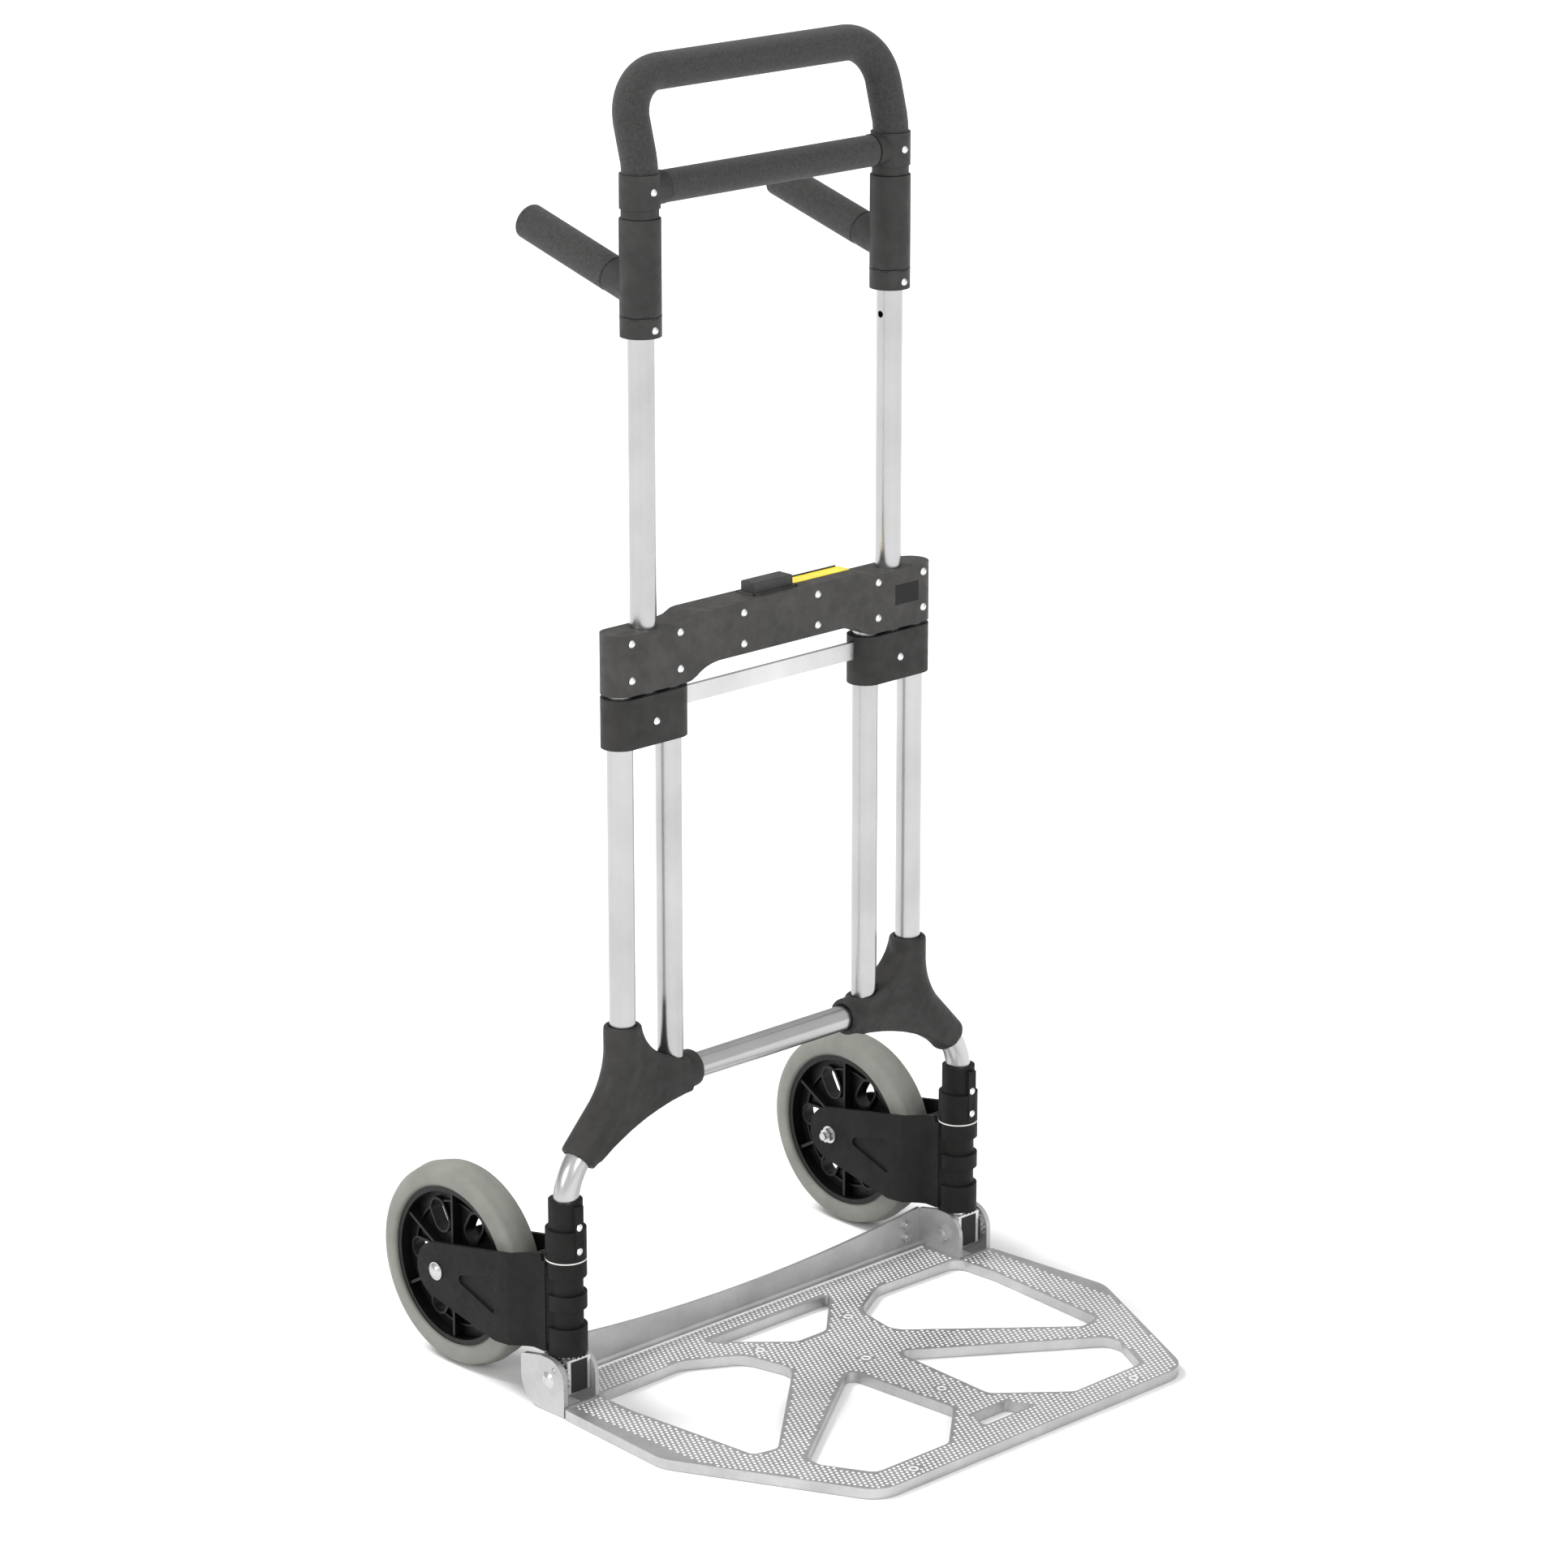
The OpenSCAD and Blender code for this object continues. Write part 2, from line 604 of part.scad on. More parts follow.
// Toothed sector on the inner face of each outer ear, with its pin
sector_pin_y = -9;
sector_pin_z = 12;
module gear_sectors() color([0.6, 0.6, 0.6]) in_frame() for (side = [-1, 1]) on_side(side) {
    depth = 4.2;
    translate([column_x + ear_out - depth, 0, hinge_z]) rotate([0, 90, 0]) difference() {
        union() {
            cylinder(r = sector_root, h = depth);
            for (j = [-2 : 6]) rotate([0, 0, 180 + (j + 0.5) * gear_step])
                translate([sector_root - 1, -tooth_w / 2, 0])
                    cube([sector_tip - sector_root + 1, tooth_w, depth]);
        }
        translate([0, 0, -1]) cylinder(r = bolt_r, h = depth + 2);
    }
    along_x(column_x + ear_out, sector_pin_y, hinge_z + sector_pin_z) {
        cylinder(r = 2, h = ear_out_t);
        translate([0, 0, ear_out_t]) dome(3.2, 1.4);
    }
}
catch_x = 226;
catch_z = [23, 36];
module catch_screws() color("silver") in_frame() for (side = [-1, 1], z = catch_z)
    translate([side * catch_x, flange_back - flange_t, z]) {
        rotate([-90, 0, 0]) cylinder(r = 2.5, h = flange_t);
        rotate([90, 0, 0]) {
            hex_head(9, 3);
            cylinder(r = 2.5, h = 4.5);
        }
    }

// ---------------------------------------------------------------- wheel brackets

// Side view of a fork wall: [y, z, corner radius]. Its top and bottom edges touch the round end
axle_at = [axle_reach, axle_z];
function end_touch(p, way) =
    p[1] + (axle_reach + wall_end_r - p[0])
        * tan(atan2(axle_z - p[1], axle_reach - p[0]) + way * asin(wall_end_r / norm(axle_at - p)));
wall_top = [12, 155.4];
wall_low = [66, 54.5];
wall_side = rounded([
    [wall_start, 57.5, 2], [wall_start, sleeve_top, 0], [wall_top[0], sleeve_top, 0],
    [wall_top[0], wall_top[1], 3],
    [axle_reach + wall_end_r, end_touch(wall_top, 1), wall_end_r],
    [axle_reach + wall_end_r, end_touch(wall_low, -1), wall_end_r],
    [wall_low[0], wall_low[1], 26], [30, 57.5, 0]
]);
// Shallow pocket in the outside of each wall
pocket_t = 2.6;
pocket = rounded([[130, 103.5, 5], [67, 119, 2.5], [66, 81, 2.5]]);
// Plan view of one wall: [x, y] from the column outwards
wall_plan = [
    [wall_near, 0], [wall_near, wall_straight], [fork_half, wall_wide], [fork_half, wall_end],
    [fork_half - wall_t, wall_end], [fork_half - wall_t, wall_wide],
    [wall_near - wall_t, wall_straight + 1], [wall_near - wall_t, 0]
];
module fork_wall() intersection() {
    linear_extrude(200) polygon(wall_plan);
    rotate([90, 0, 90]) linear_extrude(60) polygon(wall_side);
}
module wheel_bracket(side) color([0.15, 0.15, 0.15]) in_frame() on_side(side) translate([column_x, 0, 0])
    difference() {
        union() {
            translate([0, 0, sleeve_low]) cylinder(r = sleeve_r, h = sleeve_top - sleeve_low);
            for (b = bands) translate([0, 0, b[0]]) cylinder(r = band_r, h = b[1] - b[0]);
            fork_wall();
            mirror([1, 0, 0]) fork_wall();
            translate([0, 0, web_low]) linear_extrude(web_h) polygon([
                [-web_front, 0], [web_front, 0],
                [wall_near - 1, wall_start + 1], [wall_near - 1, wall_straight],
                [fork_half - 5, web_back], [-fork_half + 5, web_back],
                [-wall_near + 1, wall_straight], [-wall_near + 1, wall_start + 1]
            ]);
            for (k = [-7 : 1]) rotate([0, 0, k * gear_step])
                translate([crown_in, -tooth_w / 2, crown_low]) cube([band_r - crown_in - 0.1, tooth_w, 4]);
        }
        translate([0, 0, 40]) cylinder(r = tube_r + run_gap, h = 130);
        along_x(-60, axle_reach, axle_z) cylinder(r = axle_r, h = 120);
        for (way = [0, 1]) mirror([way, 0, 0]) translate([fork_half - pocket_t, 0, 0]) rotate([90, 0, 90])
            linear_extrude(2 * pocket_t) polygon(pocket);
    }
module left_wheel_bracket() wheel_bracket(-1);
module right_wheel_bracket() wheel_bracket(1);

axle_stub = 11;
axle_flange_r = 9;
axle_flange_t = 1.6;
nut_t = 5;
module axle_bolt(side) color("silver") in_frame() on_side(side) {
    along_x(column_x - fork_half - axle_stub, axle_reach, axle_z)
        cylinder(r = axle_r, h = 2 * fork_half + axle_stub);
    along_x(column_x + fork_half, axle_reach, axle_z) {
        cylinder(r = axle_flange_r, h = axle_flange_t);
        translate([0, 0, axle_flange_t]) dome(8, 3.4);
    }
}
module left_axle_bolt() axle_bolt(-1);
module right_axle_bolt() axle_bolt(1);
module axle_nut(side) color("silver") in_frame() on_side(side)
    along_x(column_x - fork_half - nut_t - axle_flange_t, axle_reach, axle_z) difference() {
        union() {
            hex_head(13, nut_t);
            translate([0, 0, nut_t]) cylinder(r = axle_flange_r, h = axle_flange_t);
        }
        translate([0, 0, -1]) cylinder(r = axle_r, h = nut_t + axle_flange_t + 2);
    }
module left_axle_nut() axle_nut(-1);
module right_axle_nut() axle_nut(1);

// ---------------------------------------------------------------- wheels

module at_wheel(side) in_frame() on_side(side) translate([column_x, axle_reach, axle_z]) rotate([0, 90, 0])
    children();
tread_half = tyre_w / 2;
tyre_half = concat(
    [[rim_r, 0], [rim_r, tread_half - 3]],
    bezier([rim_r + 3, tread_half], [wheel_r - 2, tread_half], [wheel_r - 2.2, tread_half * 0.55], 6),
    [[wheel_r, 0]]
);
tyre_section = concat(tyre_half, [for (i = [len(tyre_half) - 2 : -1 : 1]) [tyre_half[i][0], -tyre_half[i][1]]]);
module tyre(side) color([0.57, 0.58, 0.55]) at_wheel(side) rotate_extrude($fn = 128) polygon(tyre_section);
module left_tyre() tyre(-1);
module right_tyre() tyre(1);

// Six ribs tied by a thin ring, and between them six oval holes with a raised collar
spokes = 6;
hole_r = 9.5;
hole_at = [44, 56];
collar_t = 2.5;
ring_r = 62;
module oval_bar(r, half_h) {
    for (x = hole_at) translate([x, 0, -half_h]) cylinder(r = r, h = 2 * half_h);
    translate([hole_at[0], -r, -half_h]) cube([hole_at[1] - hole_at[0], 2 * r, 2 * half_h]);
}
module rim(side) color([0.08, 0.08, 0.08]) at_wheel(side) difference() {
    union() {
        rotate_extrude($fn = 128) {
            translate([rim_r - rim_wall, -rim_half]) square([rim_wall, 2 * rim_half]);
            translate([hub_r - 1, -2]) square([rim_r - rim_wall - hub_r + 2, 4]);
            translate([hub_r - 5.5, -hub_half]) square([5.5, 2 * hub_half]);
            translate([ring_r - 1, -6]) square([2, 12]);
        }
        for (k = [0 : spokes - 1]) rotate([0, 0, k * 360 / spokes])
            translate([hub_r - 1, -1.5, -rim_half + 2])
                cube([rim_r - rim_wall - hub_r + 2, 3, 2 * rim_half - 4]);
        for (k = [0 : spokes - 1]) rotate([0, 0, (k + 0.5) * 360 / spokes]) oval_bar(hole_r + collar_t, 7);
    }
    for (k = [0 : spokes - 1]) rotate([0, 0, (k + 0.5) * 360 / spokes]) oval_bar(hole_r, rim_half);
    translate([0, 0, -hub_half - 1]) cylinder(r = bearing_r, h = 2 * hub_half + 2);
}
module left_rim() rim(-1);
module right_rim() rim(1);
module bearings(side) color("silver") at_wheel(side) for (z = [-hub_half, hub_half - bearing_w])
    translate([0, 0, z]) difference() {
        cylinder(r = bearing_r, h = bearing_w);
        translate([0, 0, -1]) cylinder(r = axle_r + run_gap, h = bearing_w + 2);
    }
module left_bearings() bearings(-1);
module right_bearings() bearings(1);

// ---------------------------------------------------------------- handle

// The handle's path: both legs with their lean and corner, and the top bar
module handle_arch(d, low) {
    for (side = [-1, 1]) on_side(side) {
        translate([handle_x, 0, low]) straight(d, lean_z - low, before = 0);
        translate([handle_x, 0, lean_z]) rotate([0, 0, -90]) bend(lean_r, lean_angle, d);
        translate([handle_x, lean_back, lean_z + lean_rise]) rotate([-lean_angle, 0, 0]) {
            straight(d, leg_len);
            translate([0, 0, leg_len]) bend(corner_r, 90, d);
        }
    }
    bar_half = handle_x - corner_r;
    translate([0, lean_back, lean_z + lean_rise]) rotate([-lean_angle, 0, 0])
        translate([-bar_half, 0, leg_len + corner_r]) rotate([0, 90, 0]) straight(d, 2 * bar_half);
}
module handle_tube() color("silver") in_frame() difference() {
    handle_arch(tube_d, handle_foot);
    handle_arch(tube_d - 2 * tube_wall, handle_foot - eps);
    for (side = [-1, 1], z = [pin_z, pin_z + handle_travel]) on_side(side)
        along_x(handle_x - tube_d, 0, z) cylinder(r = pin_hole_r, h = tube_d);
}
module handle_foam() color([0.22, 0.22, 0.2]) in_frame() difference() {
    handle_arch(foam_d, tee_top - 8);
    handle_arch(tube_d, tee_top - 10);
    translate([-plate_half_w, -foam_d, tee_low]) cube([2 * plate_half_w, 2 * foam_d, tee_top + 0.2 - tee_low]);
}
module screw_hole(z) along_y(handle_x, -2 * tube_d, z) cylinder(r = rivet_r, h = 2 * tube_d);
module handle_tee(side) color([0.25, 0.25, 0.25]) in_frame() on_side(side) difference() {
    union() {
        translate([handle_x, 0, tee_body]) cylinder(r = tee_r, h = tee_top - tee_body);
        translate([handle_x, 0, tee_low]) cylinder(r = tee_r - 1.5, h = tee_body - tee_low);
        along_x(boss_x, 0, crossbar_z) cylinder(r = boss_r, h = handle_x - boss_x);
    }
    translate([handle_x, 0, tee_low - 1]) cylinder(d = tube_d, h = tee_top - tee_low + 2);
    along_x(boss_x - 1, 0, crossbar_z) cylinder(d = crossbar_d, h = handle_x - boss_x);
    screw_hole(crossbar_z);
}
module left_handle_tee() handle_tee(-1);
module right_handle_tee() handle_tee(1);
crossbar_half = handle_x - tube_r - 0.4;
module handle_crossbar() color("silver") in_frame() along_x(-crossbar_half, 0, crossbar_z)
    tube(crossbar_d, 2 * crossbar_half);
module crossbar_foam() color([0.22, 0.22, 0.2]) in_frame() along_x(-boss_x + 0.2, 0, crossbar_z)
    tube(crossbar_foam_d, 2 * boss_x - 0.4, (crossbar_foam_d - crossbar_d) / 2);
module lower_collar(side) color([0.25, 0.25, 0.25]) in_frame() on_side(side) difference() {
    translate([handle_x, 0, collar_low]) cylinder(r = collar_r, h = collar_top - collar_low);
    translate([handle_x, 0, collar_low - 1]) cylinder(d = tube_d, h = 40);
    screw_hole(collar_screw_z);
}
module left_lower_collar() lower_collar(-1);
module right_lower_collar() lower_collar(1);
module handle_screws() color("gainsboro") in_frame() for (side = [-1, 1]) {
    front_rivet(side * handle_x, -tee_r, crossbar_z, tee_r - tube_r - 0.2, head = 3.6);
    front_rivet(side * handle_x, -collar_r, collar_screw_z, collar_r - tube_r - 0.2, head = 3.6);
}
module handle_end_plugs() color([0.1, 0.1, 0.1]) in_frame() for (side = [-1, 1]) on_side(side)
    translate([handle_x, 0, handle_foot]) {
        cylinder(r = bore_r, h = 14);
        translate([0, 0, -2]) cylinder(r = tube_r, h = 2);
    }

// ---------------------------------------------------------------- side grips

module along_grip() translate([handle_x, 0, grip_z]) rotate([grip_tilt - 90, 0, 0]) children();
grip_sleeve_low = collar_top + body_gap;
grip_sleeve_top = tee_low - body_gap;
module grip_sleeve(side) color([0.25, 0.25, 0.25]) in_frame() on_side(side) difference() {
    union() {
        translate([handle_x, 0, grip_sleeve_low]) cylinder(r = collar_r, h = grip_sleeve_top - grip_sleeve_low);
        along_grip() cylinder(r = foam_d / 2 - body_gap, h = grip_boss);
    }
    translate([handle_x, 0, grip_sleeve_low - 1]) cylinder(r = tube_r + run_gap, h = 100);
    along_grip() cylinder(d = crossbar_d, h = grip_reach);
}
module left_grip_sleeve() grip_sleeve(-1);
module right_grip_sleeve() grip_sleeve(1);
module grip_tube(side) color("silver") in_frame() on_side(side) along_grip()
    translate([0, 0, grip_tube_start]) tube(crossbar_d, grip_reach - grip_end - grip_tube_start);
module left_grip_tube() grip_tube(-1);
module right_grip_tube() grip_tube(1);
module grip_foam(side) color([0.22, 0.22, 0.2]) in_frame() on_side(side) along_grip() difference() {
    translate([0, 0, grip_boss + 0.2]) cylinder(d = foam_d, h = grip_reach - grip_boss - 0.2);
    cylinder(d = crossbar_d, h = grip_reach - grip_end);
}
module left_grip_foam() grip_foam(-1);
module right_grip_foam() grip_foam(1);

// ---------------------------------------------------------------- parts
left_frame_rail();
right_frame_rail();
left_guide_tube();
right_guide_tube();
cross_tube();
left_gusset();
right_gusset();
left_clamp_block();
right_clamp_block();
clamp_screws();
brace_bar();
housing_front();
housing_back();
housing_rivets();
blank_label();
blank_plate();
left_column_collar();
right_column_collar();
collar_rivets();
column_washers();
left_foot_block();
right_foot_block();
foot_plugs();
toe_plate();
hinge_bolts();
hinge_nuts();
gear_sectors();
catch_screws();
left_wheel_bracket();
right_wheel_bracket();
left_axle_bolt();
right_axle_bolt();
left_axle_nut();
right_axle_nut();
left_tyre();
right_tyre();
left_rim();
right_rim();
left_bearings();
right_bearings();
handle_tube();
handle_foam();
left_handle_tee();
right_handle_tee();
handle_crossbar();
crossbar_foam();
left_lower_collar();
right_lower_collar();
handle_screws();
handle_end_plugs();
left_grip_sleeve();
right_grip_sleeve();
left_grip_tube();
right_grip_tube();
left_grip_foam();
right_grip_foam();
release_button();
left_lock_pin();
right_lock_pin();
button_spring();
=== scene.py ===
import json
import math

import bmesh
import bpy
from mathutils import Matrix, Vector
from mathutils.bvhtree import BVHTree


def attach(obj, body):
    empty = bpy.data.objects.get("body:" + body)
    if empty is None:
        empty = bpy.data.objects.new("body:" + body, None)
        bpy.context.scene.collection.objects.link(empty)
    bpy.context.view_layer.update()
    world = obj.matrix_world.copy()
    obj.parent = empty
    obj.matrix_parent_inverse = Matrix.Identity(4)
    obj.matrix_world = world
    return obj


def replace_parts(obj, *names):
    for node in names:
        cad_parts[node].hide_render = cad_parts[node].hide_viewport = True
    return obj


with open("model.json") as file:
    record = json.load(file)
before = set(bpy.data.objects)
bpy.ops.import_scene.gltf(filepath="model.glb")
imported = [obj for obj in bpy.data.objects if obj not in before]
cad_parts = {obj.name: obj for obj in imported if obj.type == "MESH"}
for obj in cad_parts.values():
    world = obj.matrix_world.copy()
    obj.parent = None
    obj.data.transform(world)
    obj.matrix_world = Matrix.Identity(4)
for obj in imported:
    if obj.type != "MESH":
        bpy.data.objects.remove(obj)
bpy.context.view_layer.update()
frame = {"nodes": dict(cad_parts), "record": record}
NODES = frame["nodes"]
RECORD = frame["record"]
SLOT = {part["node"]: part["material_slot"] for part in RECORD["subparts"]}
BODY = {node: body for body, nodes in RECORD["behaviour"]["bodies"].items() for node in nodes}
SIDES = ("left", "right")
MM = 0.001


# ---------------------------------------------------------------- places taken from the frame, in mm

X, Y, Z = range(3)


def box(node):
    """Low and high corner of a CAD node, to a hundredth of a millimetre."""
    points = [vertex.co for vertex in NODES[node].data.vertices]
    axes = [[point[axis] / MM for point in points] for axis in (X, Y, Z)]
    return [round(min(values), 2) for values in axes], [round(max(values), 2) for values in axes]


def middle(node, axis):
    low, high = box(node)
    return (low[axis] + high[axis]) / 2


AXIS_Y = middle("right_frame_rail", Y)      # the tubes and the wheel columns all stand at this depth
COLUMN_X = middle("right_tyre", X)
TUBE_X = middle("right_grip_sleeve", X)
HOUSING_LOW, HOUSING_HIGH = (corner[Z] for corner in box("housing_front"))
BUTTON_LOW, BUTTON_HIGH = box("release_button")
LABEL_LOW, LABEL_HIGH = box("blank_label")
SLEEVE_LOW, SLEEVE_HIGH = box("right_grip_sleeve")
PLATE_BACK = box("toe_plate")[1][Y]
PLATE_TOP = 10                              # height of the toe plate's flat top


# ---------------------------------------------------------------- materials

class Look:
    """A material whose colour, roughness and relief vary over the surface. Texture scales are per metre."""

    def __init__(self, name, **shader):
        self.name = name
        self.material = bpy.data.materials.new(name)
        self.material.use_nodes = True
        self.tree = self.material.node_tree
        self.tree.nodes.clear()
        self.shader = self.node("ShaderNodeBsdfPrincipled", **shader)
        out = self.node("ShaderNodeOutputMaterial")
        self.link(self.shader.outputs["BSDF"], out.inputs["Surface"])
        self.place = self.node("ShaderNodeTexCoord").outputs["Object"]
        self.normal = None

    def node(self, kind, **inputs):
        """A new node, with its sockets set. An underscore stands for a space in a socket's name."""
        made = self.tree.nodes.new(kind)
        for socket, value in inputs.items():
            made.inputs[socket.replace("_", " ")].default_value = value
        return made

    def link(self, source, target):
        self.tree.links.new(source, target)

    def at(self, stretch):
        """The surface's own coordinates, scaled along each axis."""
        mapping = self.node("ShaderNodeMapping", Scale=stretch)
        self.link(self.place, mapping.inputs["Vector"])
        return mapping.outputs["Vector"]

    def noise(self, scale, detail=3.0, rough=0.55, stretch=(1, 1, 1)):
        made = self.node("ShaderNodeTexNoise", Scale=scale, Detail=detail, Roughness=rough)
        self.link(self.at(stretch), made.inputs["Vector"])
        return made.outputs["Fac"]

    def pores(self, scale):
        made = self.node("ShaderNodeTexVoronoi", Scale=scale)
        self.link(self.at((1, 1, 1)), made.inputs["Vector"])
        return made.outputs["Distance"]

    def colours(self, value, dark, light, start=0.3, end=0.7):
        """Base colour from dark to light as the value goes from start to end."""
        ramp = self.node("ShaderNodeValToRGB")
        self.link(value, ramp.inputs["Fac"])
        for element, position, colour in zip(ramp.color_ramp.elements, (start, end), (dark, light)):
            element.position = position
            element.color = (*colour, 1)
        self.link(ramp.outputs["Color"], self.shader.inputs["Base Color"])

    def roughness(self, value, low, high):
        """Roughness from low to high over the middle of the value's range."""
        made = self.node("ShaderNodeMapRange", From_Min=0.3, From_Max=0.7, To_Min=low, To_Max=high)
        self.link(value, made.inputs["Value"])
        self.link(made.outputs["Result"], self.shader.inputs["Roughness"])

    def relief(self, value, depth, strength=1.0):
        """Bumps of a depth in mm on top of the bumps so far."""
        bump = self.node("ShaderNodeBump", Strength=strength, Distance=depth * MM)
        self.link(value, bump.inputs["Height"])
        if self.normal:
            self.link(self.normal, bump.inputs["Normal"])
        self.normal = bump.outputs["Normal"]
        self.link(self.normal, self.shader.inputs["Normal"])
        return self


def grey(level, warm=0.0):
    return (level * (1 + warm), level, level * (1 - warm))


def metal(name, dark, light, rough, grain, depth, stretch=(1, 1, 1), **shader):
    look = Look(name, Metallic=1.0, **shader)
    look.colours(look.noise(14, detail=4, rough=0.6), dark, light)
    look.roughness(look.noise(60, detail=4, rough=0.65, stretch=stretch), *rough)
    return look.relief(look.noise(grain, detail=4, rough=0.6, stretch=stretch), depth)


def plastic(name, level, rough, specular=0.5, warm=0.02, grain=1100, depth=0.06):
    look = Look(name, Specular_IOR_Level=specular)
    look.colours(look.noise(38, detail=6, rough=0.66), grey(level * 0.72, warm), grey(level * 1.32, warm))
    look.roughness(look.noise(120, detail=4, rough=0.6), *rough)
    look.relief(look.noise(160, rough=0.5), depth=0.05, strength=0.5)
    return look.relief(look.noise(grain, rough=0.6), depth)


def anodised(name, stretch):
    """Satin tube metal, with its grain drawn along one axis."""
    return metal(name, grey(0.43, 0.004), grey(0.50), rough=(0.22, 0.3), grain=900, depth=0.003,
                 stretch=stretch, Anisotropic=0.3)


def cast_metal():
    look = Look("cast_aluminium", Metallic=0.8)
    look.colours(look.noise(22, detail=6, rough=0.68), grey(0.40, -0.004), grey(0.54))
    look.roughness(look.noise(45, detail=5, rough=0.7), 0.3, 0.48)
    look.relief(look.noise(26, detail=4, rough=0.6), depth=0.45, strength=0.4)
    return look.relief(look.noise(900, rough=0.6), depth=0.03)


# Near-white, less metallic copy of the cast metal: a painted highlight for the tops of the plate's dots,
# the mould's marks and the flange line.
def painted_highlight_look():
    look = Look("painted_highlight_metal", Metallic=0.35)
    look.colours(look.noise(200, rough=0.6), grey(0.8), grey(0.92))
    look.roughness(look.noise(300, rough=0.6), 0.3, 0.45)
    return look.relief(look.noise(1500, detail=2, rough=0.5), depth=0.01)


def yellow_label():
    look = Look("label_yellow", Coat_Weight=0.3)
    look.colours(look.noise(60, detail=4), (0.72, 0.53, 0.02), (0.86, 0.68, 0.035))
    look.roughness(look.noise(150, detail=4), 0.28, 0.46)
    return look.relief(look.noise(260, detail=2), depth=0.04)


def foam():
    look = Look("foam_grip", Sheen_Weight=0.12, Sheen_Roughness=0.5)
    look.colours(look.noise(420, detail=5, rough=0.75), grey(0.014, 0.02), grey(0.038, 0.03), 0.34, 0.68)
    look.roughness(look.noise(200), 0.78, 0.95)
    look.relief(look.noise(70, rough=0.5), depth=0.35, strength=0.6)
    look.relief(look.pores(1300), depth=0.22, strength=0.9)
    return look.relief(look.noise(2400, rough=0.7), depth=0.1, strength=0.9)


def rubber():
    look = Look("tyre_rubber", Specular_IOR_Level=0.3)
    look.colours(look.noise(26, detail=5, rough=0.62), (0.158, 0.163, 0.144), (0.205, 0.21, 0.187))
    look.roughness(look.noise(90, detail=4, rough=0.6), 0.46, 0.62)
    look.relief(look.noise(120, rough=0.5), depth=0.08, strength=0.5)
    return look.relief(look.noise(1400, rough=0.6), depth=0.03)


ALONG_X = (0.02, 1, 1)
ALONG_Z = (1, 1, 0.02)
LOOKS = {look.name: look.material for look in (
    anodised("anodised_tube", ALONG_Z),
    anodised("tube_across", ALONG_X),
    metal("brushed_bar", grey(0.54), grey(0.66), rough=(0.28, 0.42), grain=1200, depth=0.01,
          stretch=ALONG_X),
    metal("foot_aluminium", grey(0.55), grey(0.72), rough=(0.26, 0.42), grain=700, depth=0.02,
          stretch=(1, 1, 0.1)),
    metal("gear_metal", grey(0.30, 0.03), grey(0.46, 0.02), rough=(0.3, 0.5), grain=600, depth=0.03),
    metal("zinc_steel", grey(0.48, 0.01), grey(0.66), rough=(0.2, 0.38), grain=500, depth=0.02),
    metal("rivet_metal", grey(0.66), grey(0.85), rough=(0.14, 0.3), grain=700, depth=0.015),
    cast_metal(),
    painted_highlight_look(),
    plastic("frame_plastic", 0.023, rough=(0.46, 0.68), specular=0.25, warm=0.04),
    plastic("housing_plastic", 0.036, rough=(0.46, 0.68), specular=0.32, warm=0.04),
    plastic("bracket_plastic", 0.009, rough=(0.46, 0.64), specular=0.14, warm=0.03),
    plastic("handle_plastic", 0.025, rough=(0.44, 0.62), specular=0.28, warm=0.03),
    plastic("plug_plastic", 0.010, rough=(0.4, 0.56), specular=0.25),
    plastic("button_plastic", 0.03, rough=(0.42, 0.58)),
    plastic("hub_plastic", 0.003, rough=(0.34, 0.5), specular=0.3, grain=300, depth=0.02),
    plastic("badge_black", 0.006, rough=(0.3, 0.42), specular=0.2, grain=300, depth=0.01),
    plastic("washer_nylon", 0.62, rough=(0.35, 0.5)),
    yellow_label(),
    foam(),
    rubber(),
)}


def dress(obj, look, slot=None):
    obj.data.materials.clear()
    obj.data.materials.append(LOOKS[look])
    slot or look


for name, node in NODES.items():
    dress(node, SLOT[name])
for name in ("cross_tube", "handle_crossbar"):
    dress(NODES[name], "tube_across", "anodised_tube")


# ---------------------------------------------------------------- ways of making a piece

def to_object(name, shape):
    """A smooth-shaded object made from a bmesh, which is used up."""
    mesh = bpy.data.meshes.new(name)
    shape.to_mesh(mesh)
    shape.free()
    mesh.shade_smooth()
    obj = bpy.data.objects.new(name, mesh)
    bpy.context.scene.collection.objects.link(obj)
    return obj


def new_piece(name, shape, body, look, slot=None, crease=35):
    """A piece on a body. Edges sharper than crease degrees stay crisp."""
    obj = to_object(name, shape)
    obj.data.set_sharp_from_angle(angle=math.radians(crease))
    dress(obj, look, slot)
    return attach(obj, body)


def clean_copy(node):
    """The node's shape as a bmesh with flat areas in one face each."""
    shape = bmesh.new()
    shape.from_mesh(NODES[node].data)
    bmesh.ops.remove_doubles(shape, verts=shape.verts, dist=0.002 * MM)
    bmesh.ops.dissolve_limit(shape, angle_limit=math.radians(0.6), verts=shape.verts, edges=shape.edges)
    return shape


def rounding(width, segments, least, where=lambda point: True):
    """How soften rounds edges: by a width in mm, and only those of at least so many degrees whose
    middle, in mm, passes the test."""
    return width, segments, least, where


def soften(node, *roundings, crease=35):
    """A finer piece in place of a CAD node, with its edges rounded."""
    shape = clean_copy(node)
    for width, segments, least, where in roundings:
        edges = [edge for edge in shape.edges if len(edge.link_faces) == 2
                 and math.degrees(edge.calc_face_angle(0)) > least
                 and where((edge.verts[0].co + edge.verts[1].co) / 2 / MM)]
        bmesh.ops.bevel(shape, geom=edges, offset=width * MM, offset_type="OFFSET", segments=segments,
                        profile=0.5, affect="EDGES", clamp_overlap=True)
    obj = new_piece(node + "_soft", shape, BODY[node], SLOT[node], SLOT[node], crease)
    weighted = obj.modifiers.new("Normals", "WEIGHTED_NORMAL")
    weighted.keep_sharp = True
    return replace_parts(obj, node)


